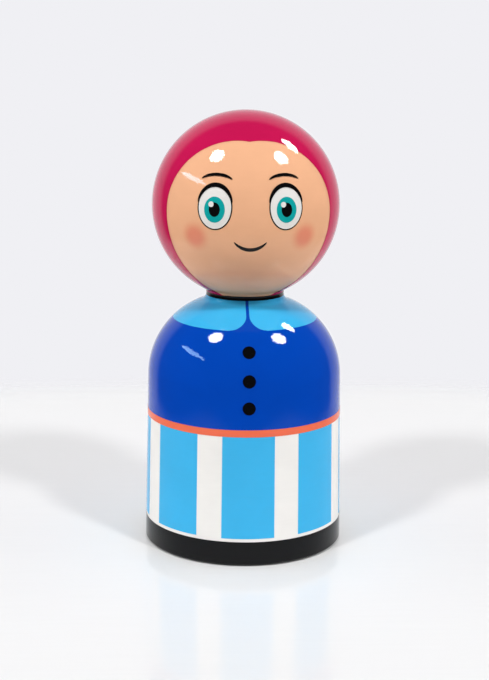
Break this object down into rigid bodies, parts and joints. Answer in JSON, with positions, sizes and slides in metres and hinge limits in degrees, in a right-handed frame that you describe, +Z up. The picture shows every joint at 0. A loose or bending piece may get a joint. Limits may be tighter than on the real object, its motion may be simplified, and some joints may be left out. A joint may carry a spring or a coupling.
{
  "type": "painted figurine",
  "caption": "Free-standing painted plaster figurine: a ball head pinned to a tapered, round-shouldered body, with a felt foot, for display on a shelf.",
  "frame": {"origin": "centre of the felt pad's resting face", "axes": "+Z up along the axis of the body and the head; the painted face looks along -Y"},
  "size_m": [0.092, 0.092, 0.1998],
  "materials": {
    "body_enamel": "gloss",
    "skin_enamel": "gloss",
    "hair_enamel": "gloss",
    "sky_enamel": "gloss",
    "white_enamel": "gloss",
    "black_enamel": "gloss",
    "orange_enamel": "gloss",
    "teal_enamel": "gloss",
    "beech": "matte",
    "hardboard": "matte",
    "felt": "matte"
  },
  "bodies": {
    "root": {"body_casting": "body_enamel", "head_casting": "skin_enamel", "neck_dowel": "beech", "base_plate": "hardboard", "felt_pad": "felt"}
  },
  "joints": []
}
